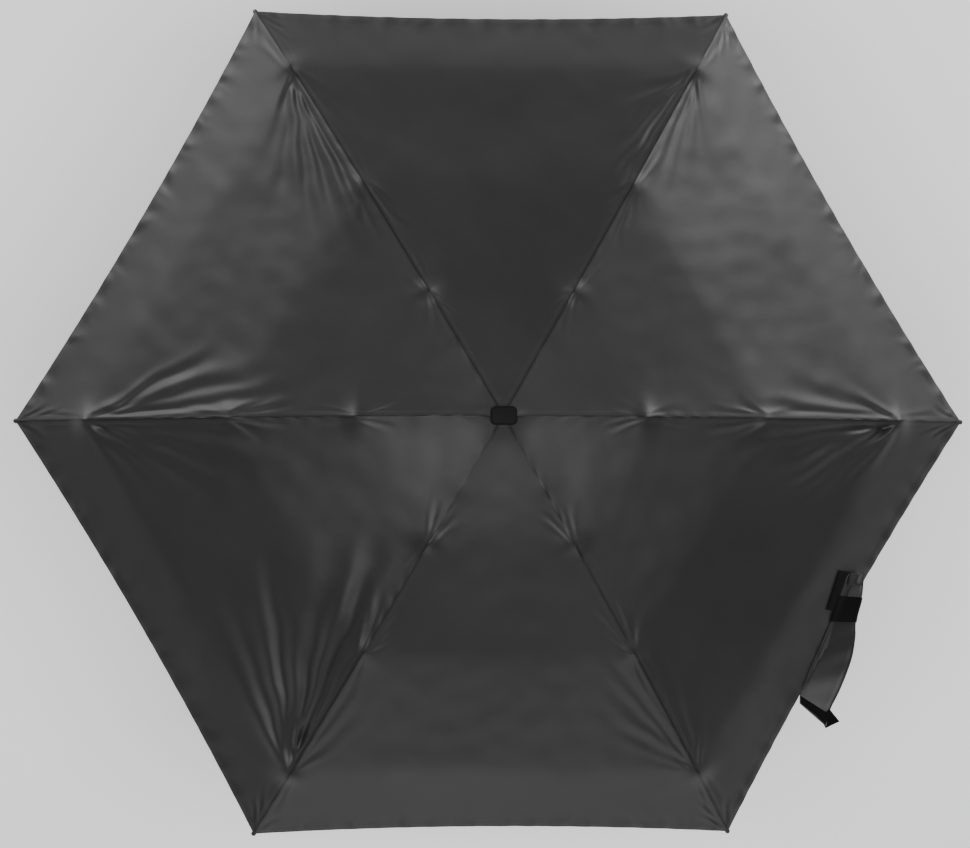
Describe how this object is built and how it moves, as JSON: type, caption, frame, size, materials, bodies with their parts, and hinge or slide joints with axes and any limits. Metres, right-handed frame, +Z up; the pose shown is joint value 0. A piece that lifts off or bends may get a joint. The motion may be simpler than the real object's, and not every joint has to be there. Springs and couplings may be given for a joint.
{
  "type": "folding umbrella",
  "caption": "Open pocket umbrella with a black fabric canopy on multi-section folding ribs, a telescoping steel shaft, a sliding runner with a latch and a short flat handle.",
  "frame": {"origin": "shaft axis at the flat foot of the handle's eyelet", "axes": "+Z up the shaft to the cap, +X along the first rib, across the canopy's corners"},
  "size_m": [0.912, 0.7904, 0.5158],
  "materials": {
    "canopy_fabric": "satin",
    "strap_fabric": "satin",
    "hook_and_loop": "matte",
    "shaft_steel": "satin",
    "hinge_wire": "satin",
    "rib_steel": "satin",
    "rib_aluminium": "satin",
    "rib_wire": "satin",
    "tip_plastic": "satin",
    "hub_plastic": "satin",
    "cap_plastic": "satin",
    "handle_plastic": "matte"
  },
  "bodies": {
    "handle": {"handle_grip": "handle_plastic", "handle_end_cap": "handle_plastic", "handle_collar": "handle_plastic", "shaft_tube_4": "shaft_steel"},
    "third_tube": {"shaft_tube_3": "shaft_steel"},
    "second_tube": {"shaft_tube_2": "shaft_steel"},
    "top": {"shaft_tube_1": "shaft_steel", "crown_hub": "hub_plastic", "crown_wire": "hinge_wire", "top_cap": "cap_plastic", "canopy_panel_1": "canopy_fabric", "canopy_panel_2": "canopy_fabric", "canopy_panel_3": "canopy_fabric", "canopy_panel_4": "canopy_fabric", "canopy_panel_5": "canopy_fabric", "canopy_panel_6": "canopy_fabric", "closure_strap": "strap_fabric", "strap_hook_patch": "hook_and_loop", "strap_loop_patch": "hook_and_loop", "cover_tape_patch": "hook_and_loop"},
    "runner": {"runner": "hub_plastic", "runner_wire": "hinge_wire"},
    "latch": {"latch_rocker": "hub_plastic"},
    "rib_1_a": {"rib_1_inner": "rib_steel"},
    "rib_1_b": {"rib_1_second": "rib_aluminium"},
    "rib_1_c": {"rib_1_third": "rib_aluminium"},
    "rib_1_d": {"rib_1_outer": "rib_wire", "rib_1_tip": "tip_plastic"},
    "rib_1_s": {"rib_1_stretcher": "rib_steel"},
    "rib_2_a": {"rib_2_inner": "rib_steel"},
    "rib_2_b": {"rib_2_second": "rib_aluminium"},
    "rib_2_c": {"rib_2_third": "rib_aluminium"},
    "rib_2_d": {"rib_2_outer": "rib_wire", "rib_2_tip": "tip_plastic"},
    "rib_2_s": {"rib_2_stretcher": "rib_steel"},
    "rib_3_a": {"rib_3_inner": "rib_steel"},
    "rib_3_b": {"rib_3_second": "rib_aluminium"},
    "rib_3_c": {"rib_3_third": "rib_aluminium"},
    "rib_3_d": {"rib_3_outer": "rib_wire", "rib_3_tip": "tip_plastic"},
    "rib_3_s": {"rib_3_stretcher": "rib_steel"},
    "rib_4_a": {"rib_4_inner": "rib_steel"},
    "rib_4_b": {"rib_4_second": "rib_aluminium"},
    "rib_4_c": {"rib_4_third": "rib_aluminium"},
    "rib_4_d": {"rib_4_outer": "rib_wire", "rib_4_tip": "tip_plastic"},
    "rib_4_s": {"rib_4_stretcher": "rib_steel"},
    "rib_5_a": {"rib_5_inner": "rib_steel"},
    "rib_5_b": {"rib_5_second": "rib_aluminium"},
    "rib_5_c": {"rib_5_third": "rib_aluminium"},
    "rib_5_d": {"rib_5_outer": "rib_wire", "rib_5_tip": "tip_plastic"},
    "rib_5_s": {"rib_5_stretcher": "rib_steel"},
    "rib_6_a": {"rib_6_inner": "rib_steel"},
    "rib_6_b": {"rib_6_second": "rib_aluminium"},
    "rib_6_c": {"rib_6_third": "rib_aluminium"},
    "rib_6_d": {"rib_6_outer": "rib_wire", "rib_6_tip": "tip_plastic"},
    "rib_6_s": {"rib_6_stretcher": "rib_steel"}
  },
  "joints": [
    {"name": "lower_shaft_slide", "type": "slide", "parent": "handle", "child": "third_tube", "axis": [0, 0, 1], "range_m": [-0.098, 0]},
    {"name": "middle_shaft_slide", "type": "slide", "parent": "third_tube", "child": "second_tube", "axis": [0, 0, 1], "range_m": [-0.098, 0]},
    {"name": "upper_shaft_slide", "type": "slide", "parent": "second_tube", "child": "top", "axis": [0, 0, 1], "range_m": [-0.098, 0]},
    {"name": "runner_slide", "type": "slide", "parent": "top", "child": "runner", "axis": [0, 0, 1], "range_m": [-0.10613, 0], "deforming": ["canopy_panel_1", "canopy_panel_2", "canopy_panel_3", "canopy_panel_4", "canopy_panel_5", "canopy_panel_6", "closure_strap", "strap_hook_patch", "strap_loop_patch", "cover_tape_patch"]},
    {"name": "latch_rock", "type": "hinge", "parent": "runner", "child": "latch", "pos_m": [0.00675, 0.0039, 0.45913], "axis": [0.5, -0.866, 0], "range_deg": [-13.5, 0], "stiffness_Nm_per_rad": 0.01, "springref_deg": 5.73},
    {"name": "rib_1_crown_hinge", "type": "hinge", "parent": "top", "child": "rib_1_a", "pos_m": [0.0095, 0, 0.503], "axis": [0, -1, 0], "range_deg": [-76.05, 0]},
    {"name": "rib_1_first_hinge", "type": "hinge", "parent": "rib_1_a", "child": "rib_1_b", "pos_m": [0.13231, 0, 0.47475], "axis": [0, -1, 0], "range_deg": [0, 186.05]},
    {"name": "rib_1_second_hinge", "type": "hinge", "parent": "rib_1_b", "child": "rib_1_c", "pos_m": [0.24914, 0, 0.42733], "axis": [0, -1, 0], "range_deg": [-172.05, 0]},
    {"name": "rib_1_third_hinge", "type": "hinge", "parent": "rib_1_c", "child": "rib_1_d", "pos_m": [0.38551, 0, 0.36003], "axis": [0, -1, 0], "range_deg": [0, 190.05]},
    {"name": "rib_1_stretcher_hinge", "type": "hinge", "parent": "runner", "child": "rib_1_s", "pos_m": [0.0095, 0, 0.46913], "axis": [0, -1, 0], "range_deg": [0, 76.05]},
    {"name": "rib_2_crown_hinge", "type": "hinge", "parent": "top", "child": "rib_2_a", "pos_m": [0.00475, 0.00823, 0.503], "axis": [0.866, -0.5, 0], "range_deg": [-76.05, 0]},
    {"name": "rib_2_first_hinge", "type": "hinge", "parent": "rib_2_a", "child": "rib_2_b", "pos_m": [0.06616, 0.11459, 0.47475], "axis": [0.866, -0.5, 0], "range_deg": [0, 186.05]},
    {"name": "rib_2_second_hinge", "type": "hinge", "parent": "rib_2_b", "child": "rib_2_c", "pos_m": [0.12457, 0.21576, 0.42733], "axis": [0.866, -0.5, 0], "range_deg": [-172.05, 0]},
    {"name": "rib_2_third_hinge", "type": "hinge", "parent": "rib_2_c", "child": "rib_2_d", "pos_m": [0.19275, 0.33386, 0.36003], "axis": [0.866, -0.5, 0], "range_deg": [0, 190.05]},
    {"name": "rib_2_stretcher_hinge", "type": "hinge", "parent": "runner", "child": "rib_2_s", "pos_m": [0.00475, 0.00823, 0.46913], "axis": [0.866, -0.5, 0], "range_deg": [0, 76.05]},
    {"name": "rib_3_crown_hinge", "type": "hinge", "parent": "top", "child": "rib_3_a", "pos_m": [-0.00475, 0.00823, 0.503], "axis": [0.866, 0.5, 0], "range_deg": [-76.05, 0]},
    {"name": "rib_3_first_hinge", "type": "hinge", "parent": "rib_3_a", "child": "rib_3_b", "pos_m": [-0.06616, 0.11459, 0.47475], "axis": [0.866, 0.5, 0], "range_deg": [0, 186.05]},
    {"name": "rib_3_second_hinge", "type": "hinge", "parent": "rib_3_b", "child": "rib_3_c", "pos_m": [-0.12457, 0.21576, 0.42733], "axis": [0.866, 0.5, 0], "range_deg": [-172.05, 0]},
    {"name": "rib_3_third_hinge", "type": "hinge", "parent": "rib_3_c", "child": "rib_3_d", "pos_m": [-0.19275, 0.33386, 0.36003], "axis": [0.866, 0.5, 0], "range_deg": [0, 190.05]},
    {"name": "rib_3_stretcher_hinge", "type": "hinge", "parent": "runner", "child": "rib_3_s", "pos_m": [-0.00475, 0.00823, 0.46913], "axis": [0.866, 0.5, 0], "range_deg": [0, 76.05]},
    {"name": "rib_4_crown_hinge", "type": "hinge", "parent": "top", "child": "rib_4_a", "pos_m": [-0.0095, 0, 0.503], "axis": [0, 1, 0], "range_deg": [-76.05, 0]},
    {"name": "rib_4_first_hinge", "type": "hinge", "parent": "rib_4_a", "child": "rib_4_b", "pos_m": [-0.13231, 0, 0.47475], "axis": [0, 1, 0], "range_deg": [0, 186.05]},
    {"name": "rib_4_second_hinge", "type": "hinge", "parent": "rib_4_b", "child": "rib_4_c", "pos_m": [-0.24914, 0, 0.42733], "axis": [0, 1, 0], "range_deg": [-172.05, 0]},
    {"name": "rib_4_third_hinge", "type": "hinge", "parent": "rib_4_c", "child": "rib_4_d", "pos_m": [-0.38551, 0, 0.36003], "axis": [0, 1, 0], "range_deg": [0, 190.05]},
    {"name": "rib_4_stretcher_hinge", "type": "hinge", "parent": "runner", "child": "rib_4_s", "pos_m": [-0.0095, 0, 0.46913], "axis": [0, 1, 0], "range_deg": [0, 76.05]},
    {"name": "rib_5_crown_hinge", "type": "hinge", "parent": "top", "child": "rib_5_a", "pos_m": [-0.00475, -0.00823, 0.503], "axis": [-0.866, 0.5, 0], "range_deg": [-76.05, 0]},
    {"name": "rib_5_first_hinge", "type": "hinge", "parent": "rib_5_a", "child": "rib_5_b", "pos_m": [-0.06616, -0.11459, 0.47475], "axis": [-0.866, 0.5, 0], "range_deg": [0, 186.05]},
    {"name": "rib_5_second_hinge", "type": "hinge", "parent": "rib_5_b", "child": "rib_5_c", "pos_m": [-0.12457, -0.21576, 0.42733], "axis": [-0.866, 0.5, 0], "range_deg": [-172.05, 0]},
    {"name": "rib_5_third_hinge", "type": "hinge", "parent": "rib_5_c", "child": "rib_5_d", "pos_m": [-0.19275, -0.33386, 0.36003], "axis": [-0.866, 0.5, 0], "range_deg": [0, 190.05]},
    {"name": "rib_5_stretcher_hinge", "type": "hinge", "parent": "runner", "child": "rib_5_s", "pos_m": [-0.00475, -0.00823, 0.46913], "axis": [-0.866, 0.5, 0], "range_deg": [0, 76.05]},
    {"name": "rib_6_crown_hinge", "type": "hinge", "parent": "top", "child": "rib_6_a", "pos_m": [0.00475, -0.00823, 0.503], "axis": [-0.866, -0.5, 0], "range_deg": [-76.05, 0]},
    {"name": "rib_6_first_hinge", "type": "hinge", "parent": "rib_6_a", "child": "rib_6_b", "pos_m": [0.06616, -0.11459, 0.47475], "axis": [-0.866, -0.5, 0], "range_deg": [0, 186.05]},
    {"name": "rib_6_second_hinge", "type": "hinge", "parent": "rib_6_b", "child": "rib_6_c", "pos_m": [0.12457, -0.21576, 0.42733], "axis": [-0.866, -0.5, 0], "range_deg": [-172.05, 0]},
    {"name": "rib_6_third_hinge", "type": "hinge", "parent": "rib_6_c", "child": "rib_6_d", "pos_m": [0.19275, -0.33386, 0.36003], "axis": [-0.866, -0.5, 0], "range_deg": [0, 190.05]},
    {"name": "rib_6_stretcher_hinge", "type": "hinge", "parent": "runner", "child": "rib_6_s", "pos_m": [0.00475, -0.00823, 0.46913], "axis": [-0.866, -0.5, 0], "range_deg": [0, 76.05]}
  ],
  "couplings": [
    {"joint": "rib_1_crown_hinge", "follows": "runner_slide", "rad_per_m": 12.498},
    {"joint": "rib_1_first_hinge", "follows": "runner_slide", "rad_per_m": -30.588},
    {"joint": "rib_1_second_hinge", "follows": "runner_slide", "rad_per_m": 28.285},
    {"joint": "rib_1_third_hinge", "follows": "runner_slide", "rad_per_m": -31.246},
    {"joint": "rib_1_stretcher_hinge", "follows": "runner_slide", "rad_per_m": -12.498},
    {"joint": "rib_2_crown_hinge", "follows": "runner_slide", "rad_per_m": 12.498},
    {"joint": "rib_2_first_hinge", "follows": "runner_slide", "rad_per_m": -30.588},
    {"joint": "rib_2_second_hinge", "follows": "runner_slide", "rad_per_m": 28.285},
    {"joint": "rib_2_third_hinge", "follows": "runner_slide", "rad_per_m": -31.246},
    {"joint": "rib_2_stretcher_hinge", "follows": "runner_slide", "rad_per_m": -12.498},
    {"joint": "rib_3_crown_hinge", "follows": "runner_slide", "rad_per_m": 12.498},
    {"joint": "rib_3_first_hinge", "follows": "runner_slide", "rad_per_m": -30.588},
    {"joint": "rib_3_second_hinge", "follows": "runner_slide", "rad_per_m": 28.285},
    {"joint": "rib_3_third_hinge", "follows": "runner_slide", "rad_per_m": -31.246},
    {"joint": "rib_3_stretcher_hinge", "follows": "runner_slide", "rad_per_m": -12.498},
    {"joint": "rib_4_crown_hinge", "follows": "runner_slide", "rad_per_m": 12.498},
    {"joint": "rib_4_first_hinge", "follows": "runner_slide", "rad_per_m": -30.588},
    {"joint": "rib_4_second_hinge", "follows": "runner_slide", "rad_per_m": 28.285},
    {"joint": "rib_4_third_hinge", "follows": "runner_slide", "rad_per_m": -31.246},
    {"joint": "rib_4_stretcher_hinge", "follows": "runner_slide", "rad_per_m": -12.498},
    {"joint": "rib_5_crown_hinge", "follows": "runner_slide", "rad_per_m": 12.498},
    {"joint": "rib_5_first_hinge", "follows": "runner_slide", "rad_per_m": -30.588},
    {"joint": "rib_5_second_hinge", "follows": "runner_slide", "rad_per_m": 28.285},
    {"joint": "rib_5_third_hinge", "follows": "runner_slide", "rad_per_m": -31.246},
    {"joint": "rib_5_stretcher_hinge", "follows": "runner_slide", "rad_per_m": -12.498},
    {"joint": "rib_6_crown_hinge", "follows": "runner_slide", "rad_per_m": 12.498},
    {"joint": "rib_6_first_hinge", "follows": "runner_slide", "rad_per_m": -30.588},
    {"joint": "rib_6_second_hinge", "follows": "runner_slide", "rad_per_m": 28.285},
    {"joint": "rib_6_third_hinge", "follows": "runner_slide", "rad_per_m": -31.246},
    {"joint": "rib_6_stretcher_hinge", "follows": "runner_slide", "rad_per_m": -12.498}
  ]
}
